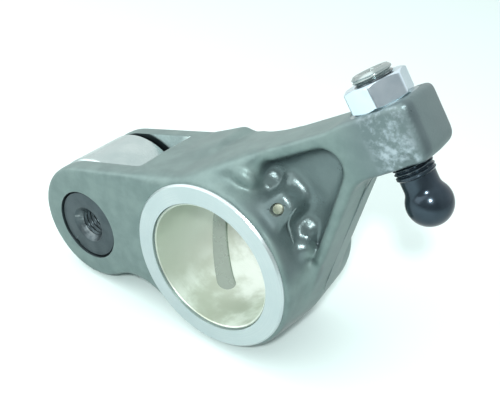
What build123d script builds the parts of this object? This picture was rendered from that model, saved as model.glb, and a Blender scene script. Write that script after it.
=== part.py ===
from build123d import *
from math import acos, atan2, cos, degrees, hypot, radians, sin, sqrt, tan
import os

# Roller rocker arm of a heavy overhead-camshaft engine.
# Origin on the rocker shaft's axis, halfway across the hub. +Y runs along the shaft, the cam roller lies
# towards -X and the adjusting screw towards +X. The hub and the roller stand on the same level.
# Outlines are drawn in the XZ plane, so their points are (x, z).

# Hub and its bush
shaft_d = 47.0
shaft_clearance = 0.05
bushing_wall = 1.0
bushing_inset = 0.8
bushing_chamfer = 0.3
hub_width = 44.0
hub_ring_d = 62.5
hub_ring_height = 1.2
hub_ring_chamfer = 0.6
hub_r = 34.3
hub_draft = 5.0
arm_draft = 3.0
blend_into_hub = 0.25

# Fork, roller and pin
roller_reach = 59.9
roller_d = 48.0
roller_width = 26.6
roller_chamfer = 1.2
roller_end_play = 0.7
roller_bush_wall = 3.0
roller_bush_end_play = 0.3
fork_width = 42.4
ear_r = 24.1
ear_shift = 0.3
ear_rise = 0.8
slot_room = 2.3
slot_back_x = -37.0
saddle_r = 18.0
pin_d = 27.8
pin_clearance = 0.04
pin_sink = 0.5
pin_chamfer = 0.6
pin_core_d = 10.2
pin_hole_depth = 20.0
pin_countersink_d = 14.6
stake_d = 3.0
stake_depth = 1.0
stake_angle = -120.0

# Arm
arm_width = 19.4
arm_knee = (13.3, 47.6)
arm_shoulder = (31.4, 59.8)
arm_knee_r = 70.0
arm_shoulder_r = 25.0
arm_elbow = (44.2, 46.9)
arm_elbow_r = 11.0
flank_start_x = -14.0
flank_end_x = 13.0
flank_end_half_width = 10.6
flank_r = 16.0

# Ridge across the far half of the hub's crown
ridge_foot = (-29.3, 25.0)
ridge_crest = (-14.9, 33.0)
ridge_back = (-9.0, 31.0)
ridge_near_y = -2.0
ridge_far_y = 19.6
ridge_depth = 6.0
ridge_edge_r = 1.2

# Pocket in each side of the arm
top_rib = 4.4
lower_rib = 4.4
lower_rib_foot = 3.2
pocket_left = (10.5, 30.0)
pocket_corner_r = 6.6
pocket_floor_half = 4.7
pocket_floor_r = 2.6
pocket_draft = 14.0
pocket_bowl_r = 7.0

# Gallery boss in the near pocket, with the drilled oil galleries and their plug
gallery_d = 3.4
plug_d = 4.2
plug_at = (21.3, 30.3)
plug_inner_y = 9.3
plug_sink = 0.3
gallery_boss_end = ((21.1, 35.8), (26.8, 31.5))
gallery_boss_foot = ((11.7, 26.8), (23.0, 21.5))
gallery_boss_end_height = 12.3
gallery_boss_slope = 28.0
gallery_boss_draft = 10.0
gallery_boss_corner_r = 1.6
gallery_boss_edge_r = 0.9
pin_gallery_y = 17.4

# Screw boss, adjusting screw and lock nut
ball_centre = (63.3, 44.4)
screw_lean = 36.87
ball_to_seat = 31.8
screw_d = 12.0
thread_clearance = 0.05
screw_above_seat = 10.0
screw_top_chamfer = 0.9
socket_af = 6.0
socket_depth = 5.0
ball_d = 14.2
neck_d = 10.9
neck_r = 4.0
thread_below_seat = 22.6
thread_end_chamfer = 0.55
boss_depth = 18.3
boss_reach = 12.5
boss_crown = 0.4
boss_nose_r = 4.5
boss_nose_edge_r = 4.6
seat_d = 21.0
lower_seat_depth = 0.5
scallop_out = 5.3
scallop_width = 8.0
scallop_depth = 0.9
nut_af = 17.0
nut_height = 7.2
nut_chamfer_angle = 30.0
nut_turn = -12.0

# Oil groove in the bush, a slanting scoop that feeds the roller's gallery
groove_depth = 0.5
groove_width = 7.4
groove_slant = 38.9
groove_peak = 160.0
groove_start = 150.0
groove_tip = 257.0
groove_margin = 3.0


# Plane geometry for the outlines
def polar(centre, radius, angle):
    return (centre[0] + radius * cos(radians(angle)), centre[1] + radius * sin(radians(angle)))


def tangent_point(point, centre, radius, side):
    dx = point[0] - centre[0]
    dz = point[1] - centre[1]
    spread = degrees(acos(radius / hypot(dx, dz)))
    return polar(centre, radius, degrees(atan2(dz, dx)) + side * spread)


def touching_centre(centre_a, radius_a, centre_b, radius_b):
    dx = centre_b[0] - centre_a[0]
    dz = centre_b[1] - centre_a[1]
    apart = hypot(dx, dz)
    along = (radius_a**2 - radius_b**2 + apart**2) / (2 * apart)
    across = sqrt(radius_a**2 - along**2)
    return (
        centre_a[0] + (along * dx - across * dz) / apart,
        centre_a[1] + (along * dz + across * dx) / apart,
    )


def towards(start, end, distance):
    share = distance / hypot(end[0] - start[0], end[1] - start[1])
    return (start[0] + share * (end[0] - start[0]), start[1] + share * (end[1] - start[1]))


def parallel(start, end, distance):
    # The same line, moved to its right-hand side
    length = hypot(end[0] - start[0], end[1] - start[1])
    shift_x = distance * (end[1] - start[1]) / length
    shift_z = -distance * (end[0] - start[0]) / length
    return (start[0] + shift_x, start[1] + shift_z), (end[0] + shift_x, end[1] + shift_z)


def meeting_point(line_a, line_b):
    (ax, az), (bx, bz) = line_a
    (cx, cz), (dx, dz) = line_b
    across = (bx - ax) * (dz - cz) - (bz - az) * (dx - cx)
    share = ((cx - ax) * (dz - cz) - (cz - az) * (dx - cx)) / across
    return (ax + share * (bx - ax), az + share * (bz - az))


def rounded_corner(face, corner, radius):
    vertex = face.vertices().sort_by_distance((corner[0], corner[1], 0))[0]
    return fillet(vertex, radius)


# Places that follow from the sizes above
roller_r = roller_d / 2
roller_drop = hub_r - roller_r
pin_at = (-sqrt(roller_reach**2 - roller_drop**2), -roller_drop)
ear_at = (pin_at[0] + ear_shift, pin_at[1] + ear_rise)
pin_length = fork_width - 2 * pin_sink
slot_width = roller_width + 2 * roller_end_play
bush_bore_d = shaft_d + 2 * shaft_clearance
bush_seat_d = bush_bore_d + 2 * bushing_wall
roller_bush_bore_d = pin_d + 2 * pin_clearance
roller_bush_d = roller_bush_bore_d + 2 * roller_bush_wall
roller_bore_d = roller_bush_d + 2 * pin_clearance
lean_sin = sin(radians(screw_lean))
lean_cos = cos(radians(screw_lean))
seat_at = (ball_centre[0] - ball_to_seat * lean_sin, ball_centre[1] + ball_to_seat * lean_cos)
screw_hole_d = screw_d + 2 * thread_clearance
screw_plane = Plane(
    origin=(seat_at[0], 0, seat_at[1]),
    x_dir=(lean_cos, 0, lean_sin),
    z_dir=(-lean_sin, 0, lean_cos),
)


def boss_point(out, up):
    return (
        seat_at[0] + out * lean_cos - up * lean_sin,
        seat_at[1] + out * lean_sin + up * lean_cos,
    )


def along_y(radius, length, centre=(0, 0), middle_y=0.0):
    return Pos(centre[0], middle_y, centre[1]) * Rot(90, 0, 0) * Cylinder(radius, length)


def both_sides(half):
    return half + mirror(half, about=Plane.XZ)


# Forged body: one outline with draft both ways from the parting plane
def body_outline():
    core_r = hub_r - blend_into_hub
    knee = tangent_point(arm_knee, (0, 0), core_r, 1)
    deck_end = tangent_point(knee, ear_at, ear_r, 1)
    rib_foot = tangent_point(arm_elbow, (0, 0), core_r, -1)
    saddle_at = touching_centre((0, 0), core_r + saddle_r, ear_at, ear_r + saddle_r)
    saddle_hub = towards((0, 0), saddle_at, core_r)
    saddle_ear = towards(ear_at, saddle_at, ear_r)
    nose_top = boss_point(boss_reach, boss_crown)
    nose_low = boss_point(boss_reach, -boss_depth)
    crown_start = boss_point(-seat_d / 2, boss_crown)
    edges = [
        ThreePointArc(saddle_ear, polar(ear_at, ear_r, 190), deck_end),
        Polyline(deck_end, knee, arm_knee, arm_shoulder, crown_start, nose_top, nose_low, arm_elbow,
                 rib_foot, (0, 0), saddle_hub),
        ThreePointArc(saddle_hub, polar(saddle_at, saddle_r, 90), saddle_ear),
    ]
    outline = make_face(Curve() + edges)
    outline = rounded_corner(outline, arm_knee, arm_knee_r)
    outline = rounded_corner(outline, arm_shoulder, arm_shoulder_r)
    outline = rounded_corner(outline, arm_elbow, arm_elbow_r)
    return rounded_corner(outline, nose_low, boss_nose_r)


def plan_blank():
    # The outline seen from above: as wide as the fork, then narrowing to the arm
    far = hub_r * 3
    side = [
        (-far, fork_width / 2),
        (flank_start_x, fork_width / 2),
        (flank_end_x, flank_end_half_width),
        (far, arm_width / 2),
    ]
    outline = make_face(Polyline(*side, *[(x, -y) for x, y in reversed(side)], close=True))
    for x, y in (side[1], side[2]):
        outline = rounded_corner(outline, (x, y), flank_r)
        outline = rounded_corner(outline, (x, -y), flank_r)
    return extrude(Plane.XY.offset(-far) * outline, amount=2 * far)


def arm_blank():
    half = extrude(Plane.XZ * body_outline(), amount=fork_width / 2, taper=arm_draft)
    return both_sides(half & plan_blank())


def pocket_cutter():
    # The pocket's sides run parallel to the arm's top and to its lower rib
    knee = tangent_point(arm_knee, (0, 0), hub_r, 1)
    rib_foot = tangent_point(arm_elbow, (0, 0), hub_r, -1)
    top_back = parallel(knee, arm_knee, top_rib)
    top_front = parallel(arm_knee, arm_shoulder, top_rib)
    lower = (parallel(arm_elbow, rib_foot, lower_rib)[0], parallel(arm_elbow, rib_foot, lower_rib_foot)[1])
    corner = meeting_point(top_front, lower)
    left = meeting_point(top_back, (pocket_left, (pocket_left[0], pocket_left[1] + 1)))
    outline = make_face(
        Polyline(left, meeting_point(top_back, top_front), corner, lower[1], (0, 0), pocket_left, close=True)
    )
    outline = rounded_corner(outline, corner, pocket_corner_r)
    depth = fork_width / 2 - pocket_floor_half
    growth = (arm_width / 2 - pocket_floor_half) * tan(radians(pocket_draft))
    floor = offset(outline, -growth, kind=Kind.INTERSECTION)
    cutter = extrude(Plane.XZ.offset(pocket_floor_half) * floor, amount=depth, taper=-pocket_draft)
    bottom = cutter.faces().sort_by(Axis.Y)[-1]
    return fillet(bottom.edges(), pocket_floor_r)


def hub_blank():
    side_r = hub_r - (hub_width / 2 - hub_ring_height) * tan(radians(hub_draft))
    side_y = hub_width / 2 - hub_ring_height
    ring_r = hub_ring_d / 2
    section = make_face(
        Polyline((0, 0), (hub_r, 0), (side_r, side_y), (ring_r, side_y),
                 (ring_r, hub_width / 2 - hub_ring_chamfer),
                 (ring_r - hub_ring_chamfer, hub_width / 2), (0, hub_width / 2), close=True)
    )
    return both_sides(revolve(section, axis=Axis.Y))


def crown_ridge():
    low = (ridge_back[0], ridge_foot[1] - ridge_depth)
    face = make_face(Polyline(ridge_foot, ridge_crest, ridge_back, low, close=True))
    face = rounded_corner(face, ridge_crest, ridge_edge_r)
    return extrude(Plane.XZ.offset(-ridge_far_y) * face, amount=ridge_far_y - ridge_near_y)


def above_boss(sink=0.0):
    # What lies outside the gallery boss's sloping face, or that much below the face
    end_left, end_right = gallery_boss_end
    end = ((end_left[0] + end_right[0]) / 2, (end_left[1] + end_right[1]) / 2)
    reach = hypot(*end)
    slope_sin = sin(radians(gallery_boss_slope))
    slope_cos = cos(radians(gallery_boss_slope))
    outwards = Vector(slope_sin * end[0] / reach, -slope_cos, slope_sin * end[1] / reach)
    start = Vector(end[0], -gallery_boss_end_height, end[1]) - outwards * sink
    return Plane(origin=start, z_dir=outwards) * Pos(0, 0, hub_width) * Box(4 * hub_r, 4 * hub_r, 2 * hub_width)


def gallery_boss():
    # A draughted block that slopes from the near rim of the hub down into the pocket
    end_left, end_right = gallery_boss_end
    foot_left, foot_right = gallery_boss_foot
    outline = make_face(Polyline(foot_left, end_left, end_right, foot_right, close=True))
    for corner in gallery_boss_end:
        outline = rounded_corner(outline, corner, gallery_boss_corner_r)
    growth = gallery_boss_end_height * tan(radians(gallery_boss_draft))
    base = offset(outline, growth, kind=Kind.INTERSECTION)
    block = extrude(Plane.XZ * base, amount=hub_width / 2 - hub_ring_height, taper=gallery_boss_draft)
    block -= above_boss()
    top = block.faces().sort_by(Axis.Y)[0]
    return fillet(top.edges(), gallery_boss_edge_r)


def hub_bowl():
    # The hollow curve in which the hub's side runs out into the pocket's floor
    rim_y = pocket_floor_half + pocket_bowl_r
    rim_r = hub_r - rim_y * tan(radians(hub_draft)) - blend_into_hub
    rim = (rim_r, -rim_y)
    low = (rim_r + pocket_bowl_r, -pocket_floor_half)
    middle = polar((rim_r + pocket_bowl_r, -rim_y), pocket_bowl_r, 135)
    edges = [
        Polyline(low, (low[0], 0), (0, 0), (0, -rim_y), rim),
        ThreePointArc(rim, middle, low),
    ]
    return revolve(make_face(Curve() + edges), axis=Axis.Y)


def roller_slot():
    far = roller_reach + ear_r
    box_length = far + slot_back_x
    straight = Pos(slot_back_x - box_length / 2, 0, 0) * Box(box_length, slot_width, 4 * ear_r)
    return straight + along_y(roller_r + slot_room, slot_width, pin_at)


def nose_corners():
    # What lies outside the rounded corners of the screw boss's end
    centre_out = boss_reach - boss_nose_edge_r
    centre_y = arm_width / 2 - boss_nose_edge_r
    corner = Pos(boss_nose_edge_r, boss_nose_edge_r) * Rectangle(2 * boss_nose_edge_r, 2 * boss_nose_edge_r)
    bar = extrude(corner - Circle(boss_nose_edge_r), amount=2 * boss_depth, both=True)
    bar = screw_plane * Pos(centre_out, centre_y, 0) * bar
    return bar + mirror(bar, about=Plane.XZ)


def boss_scallop():
    # A shallow dish in the lower edge of the boss's near face
    half_width = scallop_width / 2
    dish_r = (half_width**2 + scallop_depth**2) / (2 * scallop_depth)
    centre_y = -arm_width / 2 + scallop_depth - dish_r
    return screw_plane * Pos(scallop_out, centre_y, -boss_depth) * Sphere(dish_r)


def screw_cutters():
    hole = screw_plane * Cylinder(screw_hole_d / 2, 4 * boss_depth)
    upper = screw_plane * Pos(0, 0, seat_d / 4) * Cylinder(seat_d / 2, seat_d / 2)
    lower_z = -boss_depth + lower_seat_depth - seat_d / 8
    lower = screw_plane * Pos(0, 0, lower_z) * Cylinder(seat_d / 2, seat_d / 4)
    return hole + upper + lower


def screw_gallery():
    start = Vector(plug_at[0], 0, plug_at[1])
    boss_middle = boss_point(0, -boss_depth / 2)
    end = Vector(boss_middle[0], 0, boss_middle[1])
    hub_end = start - (end - start).normalized() * (hypot(*plug_at) - bush_bore_d / 4)
    middle = (hub_end + end) / 2
    return Plane(origin=middle, z_dir=end - hub_end) * Cylinder(gallery_d / 2, (end - hub_end).length)


def pin_gallery():
    middle = Vector(pin_at[0] / 2, pin_gallery_y, pin_at[1] / 2)
    return Plane(origin=middle, z_dir=(pin_at[0], 0, pin_at[1])) * Cylinder(gallery_d / 2, roller_reach / 2)


def plug_hole():
    return along_y(plug_d / 2, hub_width / 2, plug_at, -hub_width / 4)


def rocker_arm_body():
    arm = arm_blank() - nose_corners()
    pocket = pocket_cutter() - hub_bowl()
    arm -= pocket
    arm -= mirror(pocket, about=Plane.XZ)
    body = arm + hub_blank() + crown_ridge() + gallery_boss()
    body -= along_y(bush_seat_d / 2, 2 * hub_width)
    body -= roller_slot()
    body -= along_y(pin_d / 2, 2 * fork_width, pin_at)
    body -= screw_cutters()
    body -= boss_scallop()
    body -= screw_gallery()
    body -= pin_gallery()
    body -= plug_hole()
    return body


def shaft_bushing():
    length = hub_width - 2 * bushing_inset
    bush = along_y(bush_seat_d / 2, length) - along_y(bush_bore_d / 2, length)
    mouth = bush.edges().filter_by(GeomType.CIRCLE).filter_by(lambda e: abs(e.radius - bush_bore_d / 2) < 0.01)
    bush = chamfer(mouth, bushing_chamfer)
    bush -= oil_groove()
    bush -= screw_gallery()
    bush -= pin_gallery()
    return bush


def oil_groove():
    # A slanting band that reaches just past the bore, on the roller's side of the bush, with a round tip
    ring = along_y(bush_bore_d / 2 + groove_depth, hub_width - 2 * groove_margin)
    slab = Rot(0, -groove_peak, 0) * Rot(0, 0, groove_slant) * Box(4 * shaft_d, groove_width, 4 * shaft_d)
    half_space = Box(4 * shaft_d, hub_width, 2 * shaft_d)
    before_tip = Rot(0, -groove_tip, 0) * Pos(0, 0, -shaft_d) * half_space
    after_start = Rot(0, -groove_start, 0) * Pos(0, 0, shaft_d) * half_space
    tip_y = bush_bore_d / 2 * tan(radians(groove_slant)) * cos(radians(groove_tip - groove_peak))
    tip = Pos(shaft_d / 2, tip_y, 0) * Rot(0, 90, 0) * Cylinder(groove_width / 2, shaft_d / 2)
    return (ring & slab & before_tip & after_start) + (ring & Rot(0, -groove_tip, 0) * tip)


def cam_roller():
    roller = along_y(roller_r, roller_width, pin_at) - along_y(roller_bore_d / 2, roller_width, pin_at)
    return chamfer(roller.edges().filter_by(GeomType.CIRCLE), roller_chamfer)


def roller_bushing():
    length = slot_width - 2 * roller_bush_end_play
    return along_y(roller_bush_d / 2, length, pin_at) - along_y(roller_bush_bore_d / 2, length, pin_at)


def roller_pin():
    pin = along_y(pin_d / 2, pin_length, pin_at)
    pin = chamfer(pin.edges().filter_by(GeomType.CIRCLE), pin_chamfer)
    face_y = -pin_length / 2
    pin -= along_y(pin_core_d / 2, pin_hole_depth, pin_at, face_y + pin_hole_depth / 2)
    sink_depth = (pin_countersink_d - pin_core_d) / 2
    countersink = Cone(pin_core_d / 2, pin_countersink_d / 2, sink_depth)
    pin -= Pos(pin_at[0], face_y + sink_depth / 2, pin_at[1]) * Rot(90, 0, 0) * countersink
    stake_at = polar(pin_at, pin_d / 2, stake_angle)
    pin -= along_y(stake_d / 2, 2 * stake_depth, stake_at, face_y)
    return pin


def gallery_plug():
    plug = along_y(plug_d / 2, hub_width / 2, plug_at, -plug_inner_y - hub_width / 4)
    return plug - above_boss(plug_sink)


def adjusting_screw():
    # Half section: threaded shank, waisted neck and ball
    ball_r = ball_d / 2
    neck_start = -thread_below_seat
    neck_end = -ball_to_seat + sqrt(ball_r**2 - (neck_d / 2) ** 2)
    top = screw_above_seat
    chamfer_top = screw_top_chamfer
    section = make_face(
        Curve() + [
            Polyline((0, top), (screw_d / 2 - chamfer_top, top), (screw_d / 2, top - chamfer_top),
                     (screw_d / 2, neck_start + thread_end_chamfer), (neck_d / 2, neck_start),
                     (neck_d / 2, neck_end)),
            ThreePointArc((neck_d / 2, neck_end), (ball_r, -ball_to_seat), (0, -ball_to_seat - ball_r)),
            Line((0, -ball_to_seat - ball_r), (0, top)),
        ]
    )
    section = rounded_corner(section, (neck_d / 2, neck_end), neck_r)
    screw = revolve(Plane.XZ * section, axis=Axis.Z)
    socket = extrude(RegularPolygon(socket_af / 2, 6, major_radius=False), amount=socket_depth)
    return screw_plane * (screw - Pos(0, 0, top - socket_depth) * socket)


def lock_nut():
    corner_r = nut_af / 2 / cos(radians(30))
    drop = (corner_r - nut_af / 2) * tan(radians(nut_chamfer_angle))
    prism = extrude(RegularPolygon(corner_r, 6), amount=nut_height)
    section = make_face(
        Polyline((0, 0), (nut_af / 2, 0), (corner_r, drop), (corner_r, nut_height - drop),
                 (nut_af / 2, nut_height), (0, nut_height), close=True)
    )
    nut = prism & revolve(Plane.XZ * section, axis=Axis.Z)
    nut -= Pos(0, 0, nut_height / 2) * Cylinder(screw_hole_d / 2, 2 * nut_height)
    return screw_plane * Rot(0, 0, nut_turn) * nut


os.makedirs("parts", exist_ok=True)
for make in (rocker_arm_body, shaft_bushing, cam_roller, roller_bushing, roller_pin, gallery_plug,
             adjusting_screw, lock_nut):
    export_step(make(), f"parts/{make.__name__}.step")
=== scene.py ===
import math

import bmesh
import bpy
import numpy as np
from mathutils import Matrix, Vector


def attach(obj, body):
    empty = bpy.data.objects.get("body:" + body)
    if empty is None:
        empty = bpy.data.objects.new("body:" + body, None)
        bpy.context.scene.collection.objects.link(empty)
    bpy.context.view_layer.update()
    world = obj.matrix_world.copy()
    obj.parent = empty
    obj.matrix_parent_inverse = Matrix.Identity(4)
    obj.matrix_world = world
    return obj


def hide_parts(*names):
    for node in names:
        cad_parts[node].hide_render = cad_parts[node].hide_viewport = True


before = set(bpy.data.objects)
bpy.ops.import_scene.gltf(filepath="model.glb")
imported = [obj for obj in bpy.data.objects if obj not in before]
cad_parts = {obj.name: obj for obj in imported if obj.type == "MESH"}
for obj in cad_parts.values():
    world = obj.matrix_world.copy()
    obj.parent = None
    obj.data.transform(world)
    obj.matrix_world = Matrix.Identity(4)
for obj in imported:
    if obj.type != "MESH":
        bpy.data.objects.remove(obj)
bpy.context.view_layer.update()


# Rocker arm forging
# The arm is one steel forging with draught from a parting plane down its middle. Its skin is shot-blasted
# and phosphated to a dull grey-green. The bore, the hub's faces, the fork and the screw's seats are
# machined afterwards, so they stay crisp and bright against the rounded skin.
MM = 0.001
SHAFT_AXIS = Matrix.Rotation(math.radians(-90), 4, "X")
PIN_CENTRE = Vector((-59.008, 0, -10.3))
SCREW_SEAT = Vector((44.22, 0, 69.84))
SCREW_LEAN = 36.87
PIN_AXIS = Matrix.Translation(PIN_CENTRE * MM) @ SHAFT_AXIS
SCREW_AXIS = Matrix.Translation(SCREW_SEAT * MM) @ Matrix.Rotation(math.radians(-SCREW_LEAN), 4, "Y")


def node(tree, kind, inputs=None, **settings):
    """One shader node. Each input is a value or the socket that feeds it."""
    item = tree.nodes.new("ShaderNode" + kind)
    for key, value in settings.items():
        setattr(item, key, value)
    for key, value in (inputs or {}).items():
        if isinstance(value, bpy.types.NodeSocket):
            tree.links.new(value, item.inputs[key])
        else:
            item.inputs[key].default_value = value
    return item


def calc(tree, operation, first, second=0.0, third=0.0):
    return node(tree, "Math", {0: first, 1: second, 2: third}, operation=operation).outputs[0]


def ramp(tree, value, low, high):
    """0 at low, 1 at high, with a soft start and end."""
    return node(
        tree, "MapRange", {"Value": value, "From Min": low, "From Max": high}, interpolation_type="SMOOTHSTEP"
    ).outputs["Result"]


def blend(tree, amount, first, second):
    """The first colour where the amount is 0, the second where it is 1."""
    item = node(tree, "Mix", {0: amount}, data_type="RGBA")
    for place, colour in ((6, first), (7, second)):
        if isinstance(colour, bpy.types.NodeSocket):
            tree.links.new(colour, item.inputs[place])
        else:
            item.inputs[place].default_value = (*colour, 1)
    return item.outputs[2]


def new_group(name, inputs, outputs):
    """A shader node group, with the sockets through which it is fed and read."""
    group = bpy.data.node_groups.new(name, "ShaderNodeTree")
    for label, kind, value in inputs:
        socket = group.interface.new_socket(label, in_out="INPUT", socket_type="NodeSocket" + kind)
        socket.default_value = value
    for label, kind in outputs:
        group.interface.new_socket(label, in_out="OUTPUT", socket_type="NodeSocket" + kind)
    fed = group.nodes.new("NodeGroupInput").outputs
    read = group.nodes.new("NodeGroupOutput").inputs
    return group, fed, read


def use_group(tree, group, inputs=None):
    return node(tree, "Group", inputs, node_tree=group).outputs


def new_material(name, colour, roughness, metallic):
    material = bpy.data.materials.new(name)
    material.use_nodes = True
    material.diffuse_color = (*colour, 1)
    shader = material.node_tree.nodes["Principled BSDF"]
    shader.inputs["Base Color"].default_value = (*colour, 1)
    shader.inputs["Roughness"].default_value = roughness
    shader.inputs["Metallic"].default_value = metallic
    return material, material.node_tree, shader.inputs


def bump(tree, height, depth):
    """A normal from a height of 0 to 1 that is worth this depth in metres."""
    return node(tree, "Bump", {"Height": height, "Distance": depth}).outputs["Normal"]


def object_place(tree):
    return node(tree, "TexCoord").outputs["Object"]


def split(tree, vector):
    """The X, Y and Z of a vector."""
    return node(tree, "SeparateXYZ", {"Vector": vector}).outputs


def product(tree, *masks):
    result = masks[0]
    for mask in masks[1:]:
        result = calc(tree, "MULTIPLY", result, mask)
    return result


def radial(tree, across, up):
    """Distance from an axis, from the two offsets square to it."""
    return calc(tree, "SQRT", calc(tree, "ADD", product(tree, across, across), product(tree, up, up)))


def along(tree, place, way, start=(0, 0, 0)):
    """How far a place lies from the start in this direction."""
    offset = node(tree, "VectorMath", {0: place, 1: start}, operation="SUBTRACT").outputs[0]
    return node(tree, "VectorMath", {0: offset, 1: way}, operation="DOT_PRODUCT").outputs["Value"]


# Grain of a blasted or plated skin: fine pits and a slow mottle
grain_group, fed, read = new_group(
    "Skin grain",
    [("Grain scale", "Float", 1500.0), ("Mottle scale", "Float", 120.0)],
    [("Height", "Float"), ("Mottle", "Float")],
)
tree = grain_group
place = object_place(tree)
fine = node(tree, "TexNoise", {"Vector": place, "Scale": fed["Grain scale"], "Detail": 3.0, "Roughness": 0.6})
slow_noise = {"Vector": place, "Scale": fed["Mottle scale"], "Detail": 5.0, "Roughness": 0.55}
slow = node(tree, "TexNoise", slow_noise)
tree.links.new(fine.outputs[0], read["Height"])
tree.links.new(ramp(tree, slow.outputs[0], 0.32, 0.68), read["Mottle"])

# Wear: edges that handling has rubbed bright; and painted shade, darkening the hollows and creases
wear_group, fed, read = new_group(
    "Edge wear",
    [("Edge start", "Float", 0.52), ("Edge end", "Float", 0.6), ("Break-up scale", "Float", 500.0)],
    [("Wear", "Float"), ("Crease shade", "Float")],
)
tree = wear_group
place = object_place(tree)
sharpness = node(tree, "NewGeometry").outputs["Pointiness"]
patches = node(tree, "TexNoise", {"Vector": place, "Scale": fed["Break-up scale"], "Detail": 4.0}).outputs[0]
edge = ramp(tree, sharpness, fed["Edge start"], fed["Edge end"])
tree.links.new(product(tree, edge, ramp(tree, patches, 0.3, 0.62)), read["Wear"])
# Painted shade: the more sunken a hollow or crease, the darker it is painted
tree.links.new(ramp(tree, sharpness, 0.495, 0.43), read["Crease shade"])

# Painted shade: the pocket's floor and walls are painted darker than the rest of the skin, with a painted
# shadow under the top rib. The skin round the foot of the gallery block is dull
RIB_START = (0.0133, 0, 0.0476)
RIB_DOWN = (0.559, 0, -0.829)
BLOCK_FOOT = (0.0175, -0.017, 0.0285)
pocket_group, fed, read = new_group(
    "Pocket shade",
    [("Edge depth", "Float", 0.0096), ("Full depth", "Float", 0.0078)],
    [("Pocket", "Float"), ("Painted shadow under rib", "Float"), ("Block", "Float")],
)
tree = pocket_group
whole = object_place(tree)
along_arm, sideways, height = split(tree, whole)
off_middle = calc(tree, "ABSOLUTE", sideways)
facing_out = calc(tree, "ABSOLUTE", split(tree, node(tree, "NewGeometry").outputs["Normal"])[1])
# Painted shade over the pocket's floor and walls and over the sheltered skin beside them
inside = product(
    tree,
    ramp(tree, off_middle, fed["Edge depth"], fed["Full depth"]),
    ramp(tree, facing_out, 0.1, 0.3),
    ramp(tree, along_arm, 0.006, 0.012),
)
sheltered_shade = product(
    tree,
    ramp(tree, along_arm, 0.009, 0.015),
    ramp(tree, height, 0.038, 0.034),
    ramp(tree, off_middle, 0.0212, 0.0185),
    ramp(tree, along_arm, 0.0325, 0.0305),
)
# A band of painted shadow under the top rib
below_rib = along(tree, whole, RIB_DOWN, RIB_START)
band = product(
    tree,
    ramp(tree, below_rib, 0.0105, 0.0055),
    ramp(tree, below_rib, 0.0030, 0.0042),
    ramp(tree, off_middle, 0.0102, 0.0092),
    ramp(tree, along_arm, 0.047, 0.039),
    ramp(tree, along_arm, 0.007, 0.010),
)
from_foot = node(tree, "VectorMath", {0: whole, 1: BLOCK_FOOT}, operation="DISTANCE").outputs["Value"]
tree.links.new(calc(tree, "MAXIMUM", inside, sheltered_shade), read["Pocket"])
tree.links.new(band, read["Painted shadow under rib"])
tree.links.new(ramp(tree, from_foot, 0.0085, 0.0045), read["Block"])

# Bright scuffs where a spanner has slid over the screw boss
BOSS_WAY = (0.8, 0, 0.6)
scuff_group, fed, read = new_group("Boss scuffs", [("Scale", "Float", 260.0)], [("Scuff", "Float")])
tree = scuff_group
whole = object_place(tree)
marks = node(tree, "TexNoise", {"Vector": whole, "Scale": fed["Scale"], "Detail": 6.0, "Roughness": 0.7})
along_boss = along(tree, whole, BOSS_WAY)
scuff = product(
    tree,
    ramp(tree, along_boss, 0.0715, 0.0775),
    ramp(tree, along_boss, 0.0885, 0.0850),
    ramp(tree, calc(tree, "ABSOLUTE", split(tree, whole)[1]), 0.0088, 0.0094),
    ramp(tree, marks.outputs[0], 0.42, 0.66),
)
tree.links.new(scuff, read["Scuff"])

# Tool marks: fine rings round the axis of a turned or faced piece
marks_group, fed, read = new_group(
    "Turning marks",
    [("Place", "Vector", (0.0, 0.0, 0.0)), ("Marks per metre", "Float", 4000.0)],
    [("Height", "Float"), ("Streak", "Float")],
)
tree = marks_group
across, up, depth = split(tree, fed["Place"])
feed = calc(tree, "ADD", radial(tree, across, up), calc(tree, "MULTIPLY", depth, 1.37))
count = calc(tree, "MULTIPLY", feed, fed["Marks per metre"])
rings = node(tree, "TexNoise", {"W": count, "Scale": 1.0, "Detail": 2.0}, noise_dimensions="1D").outputs[0]
cloud = node(tree, "TexNoise", {"Vector": fed["Place"], "Scale": 90.0, "Detail": 3.0}).outputs[0]
tree.links.new(rings, read["Height"])
tree.links.new(product(tree, ramp(tree, rings, 0.35, 0.7), ramp(tree, cloud, 0.3, 0.7)), read["Streak"])

# The phosphated skin
forging_skin, tree, shader = new_material("Phosphated forging", (0.175, 0.245, 0.24), 0.36, 0.5)
grain = use_group(tree, grain_group, {"Grain scale": 1400.0, "Mottle scale": 140.0})
wear_and_shade = use_group(tree, wear_group)
colour = blend(tree, grain["Mottle"], (0.143, 0.216, 0.209), (0.192, 0.277, 0.265))
# Painted shade: the skin is painted darker towards the screw boss
painted_shade_to_boss = calc(tree, "MULTIPLY", ramp(tree, along(tree, object_place(tree), BOSS_WAY), 0.062, 0.074), 0.6)
colour = blend(tree, painted_shade_to_boss, colour, (0.115, 0.162, 0.175))
shade = use_group(tree, pocket_group)
# Painted shade in the pocket, and a darker painted shadow under the top rib
colour = blend(tree, calc(tree, "MULTIPLY", shade["Pocket"], 0.5), colour, (0.075, 0.105, 0.118))
colour = blend(tree, calc(tree, "MULTIPLY", shade["Painted shadow under rib"], 0.5), colour, (0.035, 0.055, 0.06))
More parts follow.
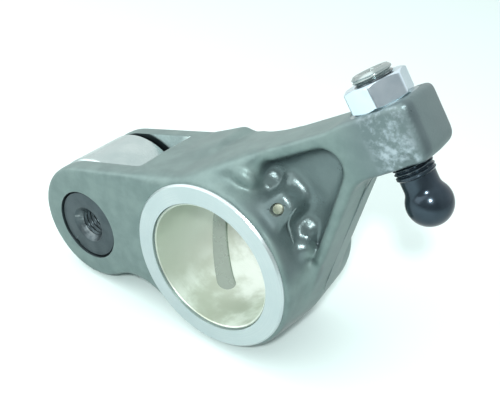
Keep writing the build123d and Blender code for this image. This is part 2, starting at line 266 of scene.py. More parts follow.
# Painted shade in the skin's hollows and creases
colour = blend(tree, calc(tree, "MULTIPLY", wear_and_shade["Crease shade"], 0.75), colour, (0.04, 0.06, 0.066))
scuffs = use_group(tree, scuff_group)["Scuff"]
colour = blend(tree, calc(tree, "MULTIPLY", scuffs, 0.75), colour, (0.42, 0.52, 0.57))
colour = blend(tree, calc(tree, "MULTIPLY", wear_and_shade["Wear"], 0.45), colour, (0.42, 0.52, 0.51))
tree.links.new(colour, shader["Base Color"])
rough = calc(tree, "MULTIPLY_ADD", grain["Mottle"], 0.08, 0.42)
rough = calc(tree, "MULTIPLY_ADD", shade["Pocket"], -0.15, rough)
rough = calc(tree, "MULTIPLY_ADD", scuffs, -0.12, rough)
rough = calc(tree, "MULTIPLY_ADD", shade["Block"], 0.3, rough)
tree.links.new(calc(tree, "MULTIPLY_ADD", wear_and_shade["Wear"], -0.1, rough), shader["Roughness"])
tree.links.new(bump(tree, grain["Height"], 0.00008), shader["Normal"])

# The faced ring and the bored seat
faced_steel, tree, shader = new_material("Faced steel", (0.54, 0.64, 0.65), 0.36, 0.8)
x, y, z = split(tree, object_place(tree))
place = node(tree, "CombineXYZ", {"X": x, "Y": z, "Z": y}).outputs[0]
marks = use_group(tree, marks_group, {"Place": place, "Marks per metre": 5200.0})
colour = blend(tree, marks["Streak"], (0.47, 0.57, 0.58), (0.565, 0.65, 0.65))
tree.links.new(colour, shader["Base Color"])
tree.links.new(calc(tree, "MULTIPLY_ADD", marks["Streak"], 0.1, 0.3), shader["Roughness"])
tree.links.new(bump(tree, marks["Height"], 0.00003), shader["Normal"])

# The milled slot and the spot faces: painted shade deep in the fork and beside the roller, and a painted
# highlight at the slot's end
milled_steel, tree, shader = new_material("Milled steel", (0.36, 0.42, 0.43), 0.4, 0.8)
place = object_place(tree)
along_arm, _, height = split(tree, place)
grain = use_group(tree, grain_group, {"Grain scale": 2500.0, "Mottle scale": 160.0})
stretched = node(tree, "Mapping", {"Vector": place, "Scale": (900, 60, 900)}).outputs[0]
strokes = node(tree, "TexNoise", {"Vector": stretched, "Scale": 1.0, "Detail": 3.0}).outputs[0]
colour = blend(tree, ramp(tree, strokes, 0.3, 0.7), (0.34, 0.42, 0.42), (0.40, 0.48, 0.48))
# Painted shade low down in the fork
colour = blend(tree, ramp(tree, height, 0.015, 0.004), colour, (0.03, 0.045, 0.05))
# Painted highlight on the slot's end wall
painted_end_highlight = product(tree, ramp(tree, along_arm, -0.0425, -0.0375), ramp(tree, along_arm, 0.0, -0.03))
colour = blend(tree, painted_end_highlight, colour, (0.74, 0.84, 0.83))
# Painted shade in the narrow gap beside the roller's ends
past_pin = calc(tree, "SUBTRACT", along_arm, PIN_CENTRE.x * MM)
over_pin = calc(tree, "SUBTRACT", height, PIN_CENTRE.z * MM)
from_pin = radial(tree, past_pin, over_pin)
shade_beside_roller = product(tree, ramp(tree, from_pin, 0.0262, 0.0249), ramp(tree, from_pin, 0.0139, 0.015))
colour = blend(tree, shade_beside_roller, colour, (0.02, 0.03, 0.033))
tree.links.new(colour, shader["Base Color"])
tree.links.new(calc(tree, "MULTIPLY_ADD", grain["Mottle"], 0.1, 0.34), shader["Roughness"])
tree.links.new(bump(tree, strokes, 0.000012), shader["Normal"])


def mesh_object(name, points, faces, material=None):
    data = bpy.data.meshes.new(name)
    data.from_pydata([tuple(p) for p in points], [], faces)
    data.update()
    obj = bpy.data.objects.new(name, data)
    bpy.context.collection.objects.link(obj)
    if material:
        data.materials.append(material)
    return obj


def turned(name, rows, axis, material=None, segments=128, hollow=False):
    """A turned mesh. Each row is (radius, height) in mm up the outside; either may vary round the axis.

    A hollow piece's rows go up the outside and back down the inside.
    """
    angles = np.arange(segments) * 2 * math.pi / segments
    points = []
    for radius, height in rows:
        radius = np.broadcast_to(radius, segments)
        height = np.broadcast_to(height, segments)
        points.append(np.stack([radius * np.cos(angles), radius * np.sin(angles), height], axis=1))
    faces = []
    for row in range(len(rows) - 1 + hollow):
        low = row * segments
        high = (row + 1) % len(rows) * segments
        for step in range(segments):
            after = (step + 1) % segments
            faces.append((low + step, low + after, high + after, high + step))
    if not hollow:
        last = (len(rows) - 1) * segments
        faces.append(tuple(range(segments - 1, -1, -1)))
        faces.append(tuple(range(last, last + segments)))
    obj = mesh_object(name, np.concatenate(points) * MM, faces, material)
    obj.matrix_world = axis
    return obj


def cylinder_rows(radius, low, high):
    return [(radius, low), (radius, high)]


def apply_modifiers(obj):
    bpy.context.view_layer.update()
    result = bpy.data.meshes.new_from_object(obj.evaluated_get(bpy.context.evaluated_depsgraph_get()))
    obj.modifiers.clear()
    obj.data = result


def combine(target, tool, operation):
    """Joins a tool to the target or cuts it out. The new faces keep the tool's own material."""
    modifier = target.modifiers.new("combine", "BOOLEAN")
    modifier.operation = operation
    modifier.solver = "EXACT"
    modifier.material_mode = "TRANSFER"
    modifier.object = tool
    apply_modifiers(target)
    bpy.data.objects.remove(tool)


def prism(name, outline, low, high, material=None):
    """A flat outline in the XZ plane, in mm, made solid from low to high along Y."""
    count = len(outline)
    points = [(x * MM, y * MM, z * MM) for y in (low, high) for x, z in outline]
    faces = [tuple(range(count)), tuple(range(2 * count - 1, count - 1, -1))]
    faces += [(i, i + count, (i + 1) % count + count, (i + 1) % count) for i in range(count)]
    return mesh_object(name, points, faces, material)


def ball(name, centre, radius):
    """A ball whose centre and radius are given in mm."""
    rows = [(radius * math.cos(a), radius * math.sin(a)) for a in np.linspace(-1.5, 1.5, 13)]
    return turned(name, rows, Matrix.Translation(Vector(centre) * MM), segments=32)


def bead(name, points, radius):
    """A round bead through points in mm, thinner towards both its ends."""
    path = bpy.data.curves.new(name, "CURVE")
    path.dimensions = "3D"
    path.bevel_depth = radius * MM
    path.bevel_resolution = 2
    path.use_fill_caps = True
    spline = path.splines.new("NURBS")
    spline.points.add(len(points) - 1)
    spline.use_endpoint_u = True
    spline.order_u = 4
    spline.resolution_u = 6
    for point, place in zip(spline.points, points):
        point.co = (*(Vector(place) * MM), 1)
    spline.points[0].radius = spline.points[-1].radius = 0.3
    curve = bpy.data.objects.new(name, path)
    bpy.context.collection.objects.link(curve)
    bpy.context.view_layer.update()
    solid = bpy.data.meshes.new_from_object(curve.evaluated_get(bpy.context.evaluated_depsgraph_get()))
    bpy.data.objects.remove(curve)
    obj = bpy.data.objects.new(name, solid)
    bpy.context.collection.objects.link(obj)
    return obj


def relax(obj, passes, firm_passes, swell=0.0, soft_spots=()):
    """Draws each point towards its neighbours; the firm passes push back, so that the form doesn't shrink.

    The skin first swells by this many mm. A soft spot is x, y, z, reach and its further passes, in mm.
    """
    count = len(obj.data.vertices)
    points = np.empty(count * 3)
    normals = np.empty(count * 3)
    obj.data.vertices.foreach_get("co", points)
    obj.data.vertices.foreach_get("normal", normals)
    points = (points + swell * MM * normals).reshape(-1, 3)
    turns = np.full(count, float(passes))
    for x, y, z, reach, more in soft_spots:
        near = np.linalg.norm(points / MM - (x, y, z), axis=1) / reach
        turns = np.maximum(turns, passes + more * np.clip(1.2 * (1 - near**2), 0, 1))
    edges = np.empty(len(obj.data.edges) * 2, int)
    obj.data.edges.foreach_get("vertices", edges)
    first, second = edges.reshape(-1, 2).T
    neighbours = np.bincount(edges, minlength=count)[:, None]

    def step(points, weight):
        total = np.stack(
            [
                np.bincount(first, points[second, k], count) + np.bincount(second, points[first, k], count)
                for k in range(3)
            ],
            axis=1,
        )
        return points + weight * (total / neighbours - points)

    draw = 0.6
    push_back = -0.62
    for turn in range(math.ceil(turns.max())):
        moved = step(points, draw)
        if turn < firm_passes:
            moved = step(moved, push_back)
        points = np.where((turn < turns)[:, None], moved, points)
    obj.data.vertices.foreach_set("co", points.ravel())
    obj.data.update()


# The blank starts as the CAD solid with its machined openings filled again
arm = bpy.data.objects.new("rocker_arm_forging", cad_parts["rocker_arm_body"].data.copy())
bpy.context.collection.objects.link(arm)
arm.data.materials.clear()
arm.data.materials.append(forging_skin)
mesh = bmesh.new()
mesh.from_mesh(arm.data)
bmesh.ops.remove_doubles(mesh, verts=mesh.verts, dist=0.001 * MM)
mesh.to_mesh(arm.data)
mesh.free()

FORK_FILL = [(-66.0, 12.3), (-78.0, 3.0), (-81.6, -10.0), (-74.0, -27.0), (-59.0, -32.4), (-46.0, -28.5),
             (-38.5, -21.0), (-30.0, -17.0), (-26.0, 0.0), (-26.0, 24.5), (-30.0, 23.5)]
SLOT_HALF = 14
SLOT_FILL_HALF = SLOT_HALF + 0.4
BORE_FILL_R = 28
PIN_FILL_R = 15
SCREW_FILL_R = 6.6
combine(arm, turned("bore_fill", cylinder_rows(BORE_FILL_R, -21.5, 21.5), SHAFT_AXIS), "UNION")
combine(arm, prism("fork_fill", FORK_FILL, -SLOT_FILL_HALF, SLOT_FILL_HALF), "UNION")
combine(arm, turned("pin_fill", cylinder_rows(PIN_FILL_R, -21.15, 21.15), PIN_AXIS), "UNION")
combine(arm, turned("screw_fill", cylinder_rows(SCREW_FILL_R, -17.6, -0.3), SCREW_AXIS), "UNION")
PLUG_AXIS = Matrix.Translation(Vector((21.3, 0, 30.3)) * MM) @ SHAFT_AXIS
PLUG_SEGMENTS = 48
PLUG_ANGLES = np.arange(PLUG_SEGMENTS) * 2 * math.pi / PLUG_SEGMENTS
BLOCK_HEIGHT = -14.56
BLOCK_SLOPE = 0.532
SLOPE_ALONG = 0.58
SLOPE_DOWN = 0.815


def block_face(radius, angles, sink=0.0):
    """Height of the gallery block's sloping face at points round the plug's axis, or that much below it."""
    slope = BLOCK_SLOPE * radius * (SLOPE_ALONG * np.cos(angles) - SLOPE_DOWN * np.sin(angles))
    return BLOCK_HEIGHT + sink + slope


PLUG_FILL = [(2.4, block_face(2.4, PLUG_ANGLES, 0.05)), (2.4, -5)]
combine(arm, turned("plug_fill", PLUG_FILL, PLUG_AXIS, segments=PLUG_SEGMENTS), "UNION")

# The ring is cut off here and added again crisp, after the rounding
FACING_R = 31.6
for low, high in ((-30, -21.1), (21.1, 30)):
    combine(arm, turned("facing_cut", cylinder_rows(FACING_R, low, high), SHAFT_AXIS), "DIFFERENCE")


SKIN_SQUARE = 0.6


def even_skin(obj):
    """Covers a solid with an even skin of small squares."""
    skin = obj.modifiers.new("skin", "REMESH")
    skin.mode = "VOXEL"
    skin.voxel_size = SKIN_SQUARE * MM
    apply_modifiers(obj)


# First rounding: an even skin, relaxed until the edges have a forging's radii, most at the soft spots
SOFT_SPOTS = [
    (-20, -17, 29, 17, 90), (-8, -14, 35, 15, 90), (5, -13, 37, 12, 60), (6, -15, 31, 11, 90),
    (-20, -2, 29, 9, 110), (6, 15, 31, 11, 90), (5, 13, 37, 12, 60), (6, -12, 41, 9, 140),
    (32.5, -9, 8, 7, 90),
    (24.4, -6.9, 34.5, 5, 40), (27.1, -7.7, 31.9, 5, 40), (18, -6.5, 33.5, 4, 30),
]
even_skin(arm)
relax(arm, passes=13, firm_passes=3, swell=0.12, soft_spots=SOFT_SPOTS)

# Round knobs stand in the near pocket round the block, and a shoulder runs from the deck to the pocket.
# A second skin joins them to the arm, and a shorter rounding softens them.
KNOBS = [
    ((28.1, -4.2, 20.9), 4.3), ((29.0, -8.6, 15.8), 4.1),
    ((12.7, -4.0, 33.5), 3.9), ((20.2, -4.2, 34.9), 3.5),
]
KNOB_SPOTS = [
    (29.2, -7.2, 23.4, 7, 12), (30.0, -11.6, 18.3, 6, 10),
    (13.6, -6.6, 35.6, 6, 10), (21.5, -6.6, 36.8, 6, 10),
]
for place, size in KNOBS:
    combine(arm, ball("knob", place, size), "UNION")
SHOULDER = [
    (2.6, -13.2, 37.4), (4.8, -12.4, 36.0), (7.0, -11.6, 34.7), (9.3, -10.6, 33.4), (11.0, -9.9, 32.4),
]
combine(arm, bead("shoulder", SHOULDER, 3.5), "UNION")
even_skin(arm)
relax(arm, passes=8, firm_passes=2, soft_spots=KNOB_SPOTS)

# A thin fin of flash stands beside the block, and the parting line shows on the lower rib
FLASH = [
    (26.8, -12.3, 32.2), (25.2, -12.9, 29.2), (24.5, -13.0, 26.0),
    (25.4, -11.8, 22.4), (27.1, -12.6, 19.2), (29.0, -12.2, 15.6),
]
PARTING = [
    (45.0, 0, 45.6), (43.1, 0, 40.6), (40.5, 0, 27.8),
    (38.1, 0, 17.9), (36.1, 0, 7.7), (34.2, 0, -5.2),
]
combine(arm, bead("flash", FLASH, 0.55), "UNION")
combine(arm, bead("parting_line", PARTING, 0.3), "UNION")

# Machining: the faced ring is added crisp, then each cutter leaves its own finish
arm.data.materials.clear()
arm.data.materials.append(forging_skin)
RING = [
    (26, -22), (30.65, -22), (31.25, -21.4), (31.25, -21.0), (30.0, -20.2), (30.0, 20.2), (31.25, 21.0),
    (31.25, 21.4), (30.65, 22), (26, 22),
]
combine(arm, turned("ring", RING, SHAFT_AXIS, faced_steel, 192), "UNION")
BUSH_SEAT_R = 24.55
bore_cut = turned("bore_cut", cylinder_rows(BUSH_SEAT_R, -30, 30), SHAFT_AXIS, faced_steel, 192)
combine(arm, bore_cut, "DIFFERENCE")
SLOT = [(-37, -60), (-37, 60), (-110, 60), (-110, -60)]
SLOT_END_R = 26.3
combine(arm, prism("slot_cut", SLOT, -SLOT_HALF, SLOT_HALF, milled_steel), "DIFFERENCE")
slot_end_rows = cylinder_rows(SLOT_END_R, -SLOT_HALF, SLOT_HALF)
combine(arm, turned("slot_end_cut", slot_end_rows, PIN_AXIS, milled_steel, 192), "DIFFERENCE")
PIN_HOLE = [(14.6, -22), (13.94, -20.9), (13.94, 20.9), (14.6, 22)]
combine(arm, turned("pin_cut", PIN_HOLE, PIN_AXIS, milled_steel), "DIFFERENCE")
# A ball-shaped scallop in the boss's near side keeps the forging's skin
SCALLOP_PLACE = Vector((5.3, -18.14, -18.3))
scallop = ball("scallop", (0, 0, 0), 9.6)
scallop.data.materials.append(forging_skin)
scallop.matrix_world = SCREW_AXIS @ Matrix.Translation(SCALLOP_PLACE * MM)
combine(arm, scallop, "DIFFERENCE")
SCREW_CUTS = [
    ("screw_cut", 6.05, -40, 20),
    ("seat_cut", 10.5, 0, 10),
    ("under_seat_cut", 9.4, -30, -17.8),
]
for name, radius, low, high in SCREW_CUTS:
    combine(arm, turned(name, cylinder_rows(radius, low, high), SCREW_AXIS, milled_steel), "DIFFERENCE")
GALLERY_R = 1.7
GALLERIES = [
    Matrix.Translation((0, height * MM, 0)) @ Matrix.Rotation(math.radians(turn), 4, "Y")
    for height, turn in ((0, 35.1), (17.4, -99.9))
]
for place in GALLERIES:
    gallery_cut = turned("gallery_cut", cylinder_rows(GALLERY_R, 20, 30), place, milled_steel, 32)
    combine(arm, gallery_cut, "DIFFERENCE")
plug_cut = turned("plug_cut", cylinder_rows(2.12, -22, -9.3), PLUG_AXIS, milled_steel, PLUG_SEGMENTS)
combine(arm, plug_cut, "DIFFERENCE")
DENT_REACH = 2.5
for stroke in (math.radians(168), math.radians(-40)):
    at = Matrix.Rotation(stroke, 4, "Z") @ Matrix.Translation((DENT_REACH * MM, 0, 0))
    surface = block_face(DENT_REACH, stroke)
    dent = [(1.0, surface - 0.9), (0.1, surface + 0.35)]
    combine(arm, turned("chisel_dent", dent, PLUG_AXIS @ at, forging_skin, 24), "DIFFERENCE")


def smooth_shading(obj, angle=40):
    """Smooth shading, with an edge kept sharp where its faces turn by more than this angle."""
    mesh = bmesh.new()
    mesh.from_mesh(obj.data)
    for face in mesh.faces:
        face.smooth = True
    for edge in mesh.edges:
        edge.smooth = len(edge.link_faces) != 2 or edge.calc_face_angle() < math.radians(angle)
    mesh.to_mesh(obj.data)
    mesh.free()


smooth_shading(arm)
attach(arm, "arm")
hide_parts("rocker_arm_body")


# Shaft bush
# A steel-backed bush pressed into the hub. Its lining of pale lead-tin bronze is fine bored, and one
# slanting groove carries the shaft's oil to the roller's gallery.
bush_lining, tree, shader = new_material("Bush lining", (0.70, 0.79, 0.71), 0.36, 0.5)
place = object_place(tree)
marks = use_group(tree, marks_group, {"Place": place, "Marks per metre": 3000.0})
grain = use_group(tree, grain_group, {"Grain scale": 1500.0, "Mottle scale": 60.0})
colour = blend(tree, grain["Mottle"], (0.77, 0.88, 0.79), (0.86, 0.95, 0.88))
colour = blend(tree, calc(tree, "MULTIPLY", marks["Streak"], 0.3), colour, (0.50, 0.58, 0.50))
across, up, _ = split(tree, place)
groove = ramp(tree, radial(tree, across, up), 0.02386, 0.02398)
# The lining is darker towards the bottom of the bore, in patches
darker_low_in_bore = product(tree, ramp(tree, up, 0.006, 0.019), ramp(tree, grain["Mottle"], 0.9, 0.0), 0.75)
colour = blend(tree, darker_low_in_bore, colour, (0.42, 0.48, 0.38))
# Painted shade on the left side of the bore
colour = blend(tree, product(tree, ramp(tree, across, -0.010, -0.021), 0.8), colour, (0.44, 0.50, 0.42))
colour = blend(tree, groove, colour, (0.34, 0.41, 0.36))
tree.links.new(colour, shader["Base Color"])
rough = calc(tree, "MULTIPLY_ADD", grain["Mottle"], 0.1, 0.3)
tree.links.new(calc(tree, "MULTIPLY_ADD", groove, -0.08, rough), shader["Roughness"])
tree.links.new(bump(tree, marks["Height"], 0.00002), shader["Normal"])


def sleeve_rows(outer, inner, half_length, edge):
    """A plain sleeve with its four edges broken."""
    return [
        (outer - edge, -half_length), (outer, -half_length + edge), (outer, half_length - edge),
        (outer - edge, half_length), (inner + edge, half_length), (inner, half_length - edge),
        (inner, -half_length + edge), (inner + edge, -half_length),
    ]


BUSH_BORE = 23.55
GROOVE_HALF = 3.7
GROOVE_SLANT = math.radians(38.9)
GROOVE_PEAK = math.radians(160)


def groove_cutter(start, tip, floor, across=5):
    """A slanting band on the bore's wall with a round tip; the angles are in degrees from +X towards +Z."""
    stations = []
    for angle in np.radians(np.linspace(start, tip, 64)):
        turn = angle - GROOVE_PEAK
        height = BUSH_BORE * math.tan(GROOVE_SLANT) * math.cos(turn)
        way = np.array([1, -math.tan(GROOVE_SLANT) * math.sin(turn)])
        half = GROOVE_HALF / math.sqrt(1 - (math.sin(GROOVE_SLANT) * math.cos(turn)) ** 2)
        stations.append((np.array([BUSH_BORE * angle, height]), way / np.linalg.norm(way), half))
    end, way, half = stations[-1]
    for ahead in GROOVE_HALF * np.sin(np.linspace(0.1, 1.5, 12)):
        stations.append((end + ahead * way, way, math.sqrt(GROOVE_HALF**2 - ahead**2)))
    points = []
    for middle, way, half in stations:
        for share in np.linspace(-1, 1, across):
            around, height = middle + share * half * np.array([-way[1], way[0]])
            for radius in (BUSH_BORE - 0.8, floor):
                angle = around / BUSH_BORE
                points.append((radius * math.cos(angle) * MM, height * MM, radius * math.sin(angle) * MM))
    faces = []
    row = 2 * across
    for first in range(0, row * (len(stations) - 1), row):
        for side in range(0, row - 2, 2):
            for layer in (0, 1):
                near = first + side + layer
                faces.append((near, near + 2, near + 2 + row, near + row))
        for edge in (first, first + row - 2):
            faces.append((edge, edge + 1, edge + 1 + row, edge + row))
    for first in (0, row * (len(stations) - 1)):
        for near in range(first, first + row - 2, 2):
            faces.append((near, near + 1, near + 3, near + 2))
    obj = mesh_object("groove_cut", points, faces, bush_lining)
    mesh = bmesh.new()
    mesh.from_mesh(obj.data)
    bmesh.ops.recalc_face_normals(mesh, faces=mesh.faces)
    mesh.to_mesh(obj.data)
    mesh.free()
    return obj


bush_rows = sleeve_rows(24.54, BUSH_BORE, 21.2, 0.3)
bush = turned("shaft_bush_lined", bush_rows, SHAFT_AXIS, bush_lining, 256, hollow=True)
combine(bush, groove_cutter(150, 255, 24.05), "DIFFERENCE")
for place in GALLERIES:
    gallery_cut = turned("bush_gallery_cut", cylinder_rows(GALLERY_R, 20, 28), place, bush_lining, 32)
    combine(bush, gallery_cut, "DIFFERENCE")
smooth_shading(bush, 30)
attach(bush, "arm")
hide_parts("shaft_bushing")


# Roller bush
# A loose bronze bush between the roller and its pin, a little longer than the roller. Only the
# ends of it show, deep in the fork.
bronze, tree, shader = new_material("Roller bush bronze", (0.62, 0.43, 0.20), 0.35, 0.9)
marks = use_group(tree, marks_group, {"Place": object_place(tree)})
colour = blend(tree, marks["Streak"], (0.50, 0.33, 0.15), (0.70, 0.50, 0.26))
tree.links.new(colour, shader["Base Color"])
tree.links.new(calc(tree, "MULTIPLY_ADD", marks["Streak"], 0.15, 0.3), shader["Roughness"])
tree.links.new(bump(tree, marks["Height"], 0.00002), shader["Normal"])
roller_bush = turned("roller_bush", sleeve_rows(16.94, 13.94, 13.7, 0.4), PIN_AXIS, bronze, 96, hollow=True)
smooth_shading(roller_bush)
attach(roller_bush, "roller_bush")
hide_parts("roller_bushing")


# Cam roller
# A hardened steel ring that follows the cam lobe, ground on its rim and sides and chamfered at both
# edges. Its rim is polished where the cam runs.
ground_steel, tree, shader = new_material("Ground roller steel", (0.56, 0.64, 0.64), 0.28, 0.95)
place = object_place(tree)
marks = use_group(tree, marks_group, {"Place": place, "Marks per metre": 7000.0})
grain = use_group(tree, grain_group, {"Grain scale": 2200.0, "Mottle scale": 70.0})
colour = blend(tree, grain["Mottle"], (0.45, 0.56, 0.555), (0.545, 0.65, 0.64))
tree.links.new(colour, shader["Base Color"])
tree.links.new(calc(tree, "MULTIPLY_ADD", marks["Streak"], 0.12, 0.22), shader["Roughness"])
tree.links.new(bump(tree, marks["Height"], 0.00001), shader["Normal"])
ROLLER_ROWS = [
    (22.6, -13.3), (22.95, -13.2), (23.85, -12.3), (24.0, -11.95), (24.0, 11.95), (23.85, 12.3),
    (22.95, 13.2), (22.6, 13.3), (17.6, 13.3), (16.98, 12.7), (16.98, -12.7), (17.6, -13.3),
]
roller = turned("cam_roller_ring", ROLLER_ROWS, PIN_AXIS, ground_steel, 192, hollow=True)
smooth_shading(roller, 20)
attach(roller, "roller")
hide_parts("cam_roller")


# Roller pin
# A hardened pin with a darkened, face-turned end, pressed into the fork and staked once at its rim.
# The tapped hole in its middle takes the screw that pulls it out again.
dark_steel, tree, shader = new_material("Darkened pin steel", (0.052, 0.078, 0.088), 0.38, 0.75)
place = object_place(tree)
marks = use_group(tree, marks_group, {"Place": place, "Marks per metre": 2600.0})
grain = use_group(tree, grain_group, {"Grain scale": 1800.0, "Mottle scale": 150.0})
wear_and_shade = use_group(tree, wear_group, {"Edge start": 0.53, "Edge end": 0.62})
colour = blend(tree, grain["Mottle"], (0.042, 0.064, 0.073), (0.065, 0.092, 0.102))
colour = blend(tree, calc(tree, "MULTIPLY", marks["Streak"], 0.35), colour, (0.11, 0.15, 0.16))
colour = blend(tree, calc(tree, "MULTIPLY", wear_and_shade["Wear"], 0.7), colour, (0.46, 0.53, 0.54))
tree.links.new(colour, shader["Base Color"])
tree.links.new(calc(tree, "MULTIPLY_ADD", marks["Streak"], 0.12, 0.34), shader["Roughness"])
tree.links.new(bump(tree, marks["Height"], 0.00004), shader["Normal"])


def thread_rows(crest, depth, pitch, low, high, segments, start_fade, end_fade, steps=10):
    """Rows of a right-hand V thread between two heights. It fades out over the given lengths.

    Depth is negative for a thread cut outwards into a hole's wall.
    """
    angles = np.arange(segments) * 2 * math.pi / segments
    rows = []
    for height in np.arange(low, high + 1e-6, pitch / steps):
        turn = (height / pitch - angles / (2 * math.pi)) % 1
        groove = np.clip(1.15 * (1 - np.abs(2 * turn - 1)) - 0.1, 0, 0.9)
        start = (height - low) / start_fade if start_fade else 1
        end = (high - height) / end_fade if end_fade else 1
        rows.append((crest - depth * groove * max(min(1, start, end), 0), height))
    return rows


# The near end points along -Y, so the rows start there; the tapped hole is walked down and back
PIN_SEGMENTS = 144
PIN_R = 13.9
tapped = thread_rows(
    crest=5.1, depth=-0.85, pitch=1.75, low=-18.3, high=-6.5,
    segments=PIN_SEGMENTS, start_fade=0, end_fade=3.0, steps=12,
)
pin_rows = [(4.9, -0.7), (5.1, -0.7)] + tapped[::-1] + [
    (7.3, -20.62), (7.45, -20.7), (13.1, -20.7), (13.3, -20.67), (PIN_R - 0.08, -20.1), (PIN_R, -19.9),
    (PIN_R, 19.9), (PIN_R - 0.08, 20.1), (13.3, 20.7),
]
pin = turned("roller_pin_turned", pin_rows, PIN_AXIS, dark_steel, PIN_SEGMENTS)
STAKE = math.radians(120)
stake_place = Vector((PIN_R * math.cos(STAKE), PIN_R * math.sin(STAKE), 0))
stake_axis = PIN_AXIS @ Matrix.Translation(stake_place * MM)
STAKE_ROWS = [(0.2, -23), (2.2, -22.2), (1.1, -19.7), (0.1, -19.4)]
combine(pin, turned("stake", STAKE_ROWS, stake_axis, dark_steel, 32), "DIFFERENCE")
smooth_shading(pin, 28)
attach(pin, "arm")
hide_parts("roller_pin")


# Gallery plug
# A small drawn steel pin that closes the drilled oil gallery. It is driven into the gallery block and
# held by a small chisel stroke at each side.
plug_steel, tree, shader = new_material("Plug steel", (0.37, 0.41, 0.31), 0.45, 0.6)
grain = use_group(tree, grain_group, {"Grain scale": 2600.0, "Mottle scale": 500.0})
colour = blend(tree, grain["Mottle"], (0.20, 0.24, 0.18), (0.35, 0.39, 0.31))
tree.links.new(colour, shader["Base Color"])
tree.links.new(bump(tree, grain["Height"], 0.00004), shader["Normal"])
PLUG_TOP = [(0.4, 0.28), (1.2, 0.34), (1.5, 0.46), (1.68, 0.8), (1.75, 1.4), (2.08, 1.8)]
plug_rows = [(radius, block_face(radius, PLUG_ANGLES, sink)) for radius, sink in PLUG_TOP]
plug_rows += [(2.08, -9.5), (1.9, -9.3)]
plug = turned("gallery_plug_drawn", plug_rows, PLUG_AXIS, plug_steel, PLUG_SEGMENTS)
smooth_shading(plug)
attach(plug, "arm")
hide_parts("gallery_plug")


# Adjusting screw
# A hardened M12 x 1.25 screw, black oxide finished, with a hexagon socket above and a polished ball
# below. It sets the valve clearance and is held by its lock nut.
black_oxide, tree, shader = new_material("Black oxide", (0.022, 0.035, 0.045), 0.24, 0.7)
place = object_place(tree)
marks = use_group(tree, marks_group, {"Place": place, "Marks per metre": 2600.0})
grain = use_group(tree, grain_group, {"Grain scale": 2400.0, "Mottle scale": 180.0})
wear_and_shade = use_group(tree, wear_group, {"Edge start": 0.53, "Edge end": 0.60, "Break-up scale": 420.0})
colour = blend(tree, grain["Mottle"], (0.027, 0.045, 0.060), (0.040, 0.062, 0.080))
# The screw's top end above the nut is lighter
lighter_top_end = product(tree, ramp(tree, split(tree, place)[2], 0.0070, 0.0085), 0.9)
colour = blend(tree, lighter_top_end, colour, (0.33, 0.40, 0.39))
colour = blend(tree, calc(tree, "MULTIPLY", wear_and_shade["Wear"], 0.75), colour, (0.38, 0.44, 0.45))
tree.links.new(colour, shader["Base Color"])
tree.links.new(calc(tree, "MULTIPLY_ADD", marks["Streak"], 0.1, 0.2), shader["Roughness"])
tree.links.new(bump(tree, marks["Height"], 0.000012), shader["Normal"])

SCREW_SEGMENTS = 96
screw_angles = np.arange(SCREW_SEGMENTS) * 2 * math.pi / SCREW_SEGMENTS
socket_wall = 3.0 / np.cos((screw_angles % (math.pi / 3)) - math.pi / 6)
BALL_R = 7.1
BALL_HEIGHT = -31.8
NECK_R = 5.45
NECK_BLEND = 4.0
blend_height = BALL_HEIGHT + math.sqrt((BALL_R + NECK_BLEND) ** 2 - (NECK_R + NECK_BLEND) ** 2)
touch = math.atan2(blend_height - BALL_HEIGHT, NECK_R + NECK_BLEND)
screw_rows = [
    (BALL_R * math.cos(a), BALL_HEIGHT + BALL_R * math.sin(a))
    for a in np.linspace(math.radians(-88), touch, 40)
]
screw_rows += [
    (NECK_R + NECK_BLEND - NECK_BLEND * math.cos(a), blend_height - NECK_BLEND * math.sin(a))
    for a in np.linspace(touch, 0, 9)[1:]
]
screw_rows += [(NECK_R, -23.2), (NECK_R + 0.05, -22.7)]
screw_rows += thread_rows(
    crest=6.0, depth=0.767, pitch=1.25, low=-22.2, high=9.2,
    segments=SCREW_SEGMENTS, start_fade=0.9, end_fade=0.9,
)
screw_rows += [
    (5.25, 9.92), (5.1, 10.0), (3.75, 10.0), (3.65, 9.96), (socket_wall, 9.45), (socket_wall, 5.2),
    (socket_wall * 0.9, 5.0),
]
screw = turned("adjusting_screw_threaded", screw_rows, SCREW_AXIS, black_oxide, SCREW_SEGMENTS)
smooth_shading(screw, 35)
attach(screw, "adjuster")
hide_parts("adjusting_screw")


# Lock nut
# A plain M12 hexagon nut, 17 mm across flats and chamfered on both faces, bright zinc plated. It
# locks the adjusting screw against the boss.
zinc_plate, tree, shader = new_material("Zinc plate", (0.66, 0.80, 0.87), 0.2, 0.9)
grain = use_group(tree, grain_group, {"Grain scale": 1900.0, "Mottle scale": 260.0})
wear_and_shade = use_group(tree, wear_group, {"Edge start": 0.53, "Edge end": 0.62, "Break-up scale": 380.0})
colour = blend(tree, grain["Mottle"], (0.62, 0.77, 0.85), (0.68, 0.82, 0.89))
# Painted shade in the nut's hollows and creases
colour = blend(tree, calc(tree, "MULTIPLY", wear_and_shade["Crease shade"], 0.7), colour, (0.24, 0.29, 0.31))
tree.links.new(colour, shader["Base Color"])
tree.links.new(calc(tree, "MULTIPLY_ADD", grain["Mottle"], 0.05, 0.17), shader["Roughness"])
tree.links.new(bump(tree, grain["Height"], 0.000012), shader["Normal"])

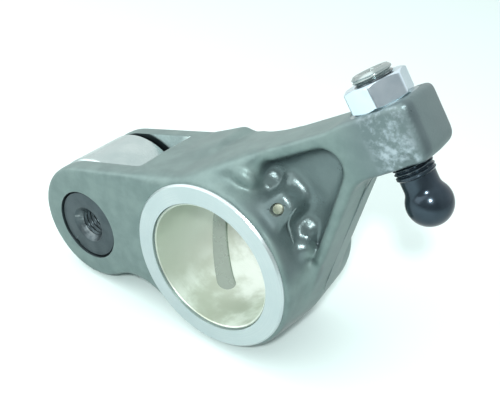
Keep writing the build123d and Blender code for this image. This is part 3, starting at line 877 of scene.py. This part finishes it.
NUT_SEGMENTS = 192
NUT_FLAT = 8.5
NUT_HEIGHT = 7.2
NUT_CORNER_R = 0.5
NUT_CHAMFER = math.radians(30)
corner_angle = (np.arange(NUT_SEGMENTS) * 2 * math.pi / NUT_SEGMENTS) % (math.pi / 3) - math.pi / 6
flat_wall = NUT_FLAT / np.cos(corner_angle)
sharp_corner = NUT_FLAT / math.cos(math.pi / 6)
nut_wall = np.minimum(flat_wall, sharp_corner - NUT_CORNER_R * (1 / math.cos(math.pi / 6) - 1) * 1.6)
chamfer_drop = (sharp_corner - NUT_FLAT) * math.tan(NUT_CHAMFER)
chamfer = [
    (np.minimum(nut_wall, NUT_FLAT + height / math.tan(NUT_CHAMFER)), height)
    for height in np.linspace(0, chamfer_drop, 9)
]
nut_rows = [(NUT_FLAT - 0.25, 0)] + chamfer
nut_rows += [(wall, NUT_HEIGHT - height) for wall, height in chamfer[::-1]]
nut_rows.append((NUT_FLAT - 0.25, NUT_HEIGHT))
nut_rows += [(6.6, NUT_HEIGHT), (6.06, NUT_HEIGHT - 0.5), (6.06, 0.5), (6.6, 0)]
NUT_AXIS = SCREW_AXIS @ Matrix.Rotation(math.radians(-12), 4, "Z")
nut = turned("lock_nut_plated", nut_rows, NUT_AXIS, zinc_plate, NUT_SEGMENTS, hollow=True)
smooth_shading(nut, 25)
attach(nut, "nut")
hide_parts("lock_nut")


# Table, light and camera
# White paper under the arm keeps its contact shadow. A broad soft lamp stands at the upper left, and
# a small one beside the camera gives each hollow and the ball their small bright spots.
paper, tree, shader = new_material("White paper", (0.86, 0.88, 0.88), 0.9, 0.0)
rays = node(tree, "LightPath").outputs
fibre = node(tree, "TexNoise", {"Vector": object_place(tree), "Scale": 300.0}).outputs[0]
# The camera sees the paper pale, reflections see it duller, and all other light finds it darker still
dull = blend(tree, fibre, (0.70, 0.77, 0.76), (0.74, 0.81, 0.80))
bounced = blend(tree, rays["Is Glossy Ray"], (0.52, 0.58, 0.57), dull)
tree.links.new(blend(tree, rays["Is Camera Ray"], bounced, (0.77, 0.915, 0.897)), shader["Base Color"])
shader["Specular IOR Level"].default_value = 0.0
TABLE_HEIGHT = -0.03434
PAPER_HALF = 3
CORNERS = [(-1, -1), (1, -1), (1, 1), (-1, 1)]
corner_points = [(x * PAPER_HALF, y * PAPER_HALF, TABLE_HEIGHT) for x, y in CORNERS]
floor = mesh_object("paper", corner_points, [(0, 1, 2, 3)], paper)

# The room is darkest low at the front right and brightest high at the back left, and the camera sees
# it white
BRIGHT_SIDE = (-0.3, 0.7, 0.4)
DIMMEST = 0.24
BRIGHTEST = 1.08
studio = bpy.data.worlds.new("studio")
studio.use_nodes = True
bpy.context.scene.world = studio
tree = studio.node_tree
rays = node(tree, "LightPath").outputs
seen = calc(tree, "MAXIMUM", rays["Is Camera Ray"], rays["Is Transmission Ray"])
share = ramp(tree, along(tree, node(tree, "TexCoord").outputs["Generated"], BRIGHT_SIDE), -0.65, 0.65)
room = calc(tree, "MULTIPLY_ADD", share, BRIGHTEST - DIMMEST, DIMMEST)
level = calc(tree, "MAXIMUM", seen, room)
sky = tree.nodes["Background"].inputs
sky["Color"].default_value = (1, 1, 1, 1)
tree.links.new(level, sky["Strength"])


def lamp(name, place, target, size, power):
    """A square lamp at a place, facing its target."""
    data = bpy.data.lights.new(name, "AREA")
    data.size = size
    data.energy = power
    obj = bpy.data.objects.new(name, data)
    obj.location = place
    obj.rotation_euler = (Vector(target) - Vector(place)).to_track_quat("-Z", "Y").to_euler()
    bpy.context.collection.objects.link(obj)


lamp("soft_lamp", place=(-0.36, -0.27, 0.37), target=(0, 0, 0), size=0.7, power=2.6)
lamp("small_lamp", place=(0.19, -0.34, 0.36), target=(0, 0, 0.01), size=0.036, power=1.9)

camera_data = bpy.data.cameras.new("camera")
camera_data.lens = 54
camera_data.sensor_width = 36
camera = bpy.data.objects.new("camera", camera_data)
bpy.context.collection.objects.link(camera)
camera.matrix_world = Matrix((
    (0.8063, -0.3696, 0.4618, 0.12085),
    (0.5891, 0.4310, -0.6835, -0.17714),
    (0.0536, 0.8232, 0.5652, 0.16382),
    (0, 0, 0, 1),
))
bpy.context.scene.camera = camera
bpy.context.scene.view_settings.view_transform = "Standard"
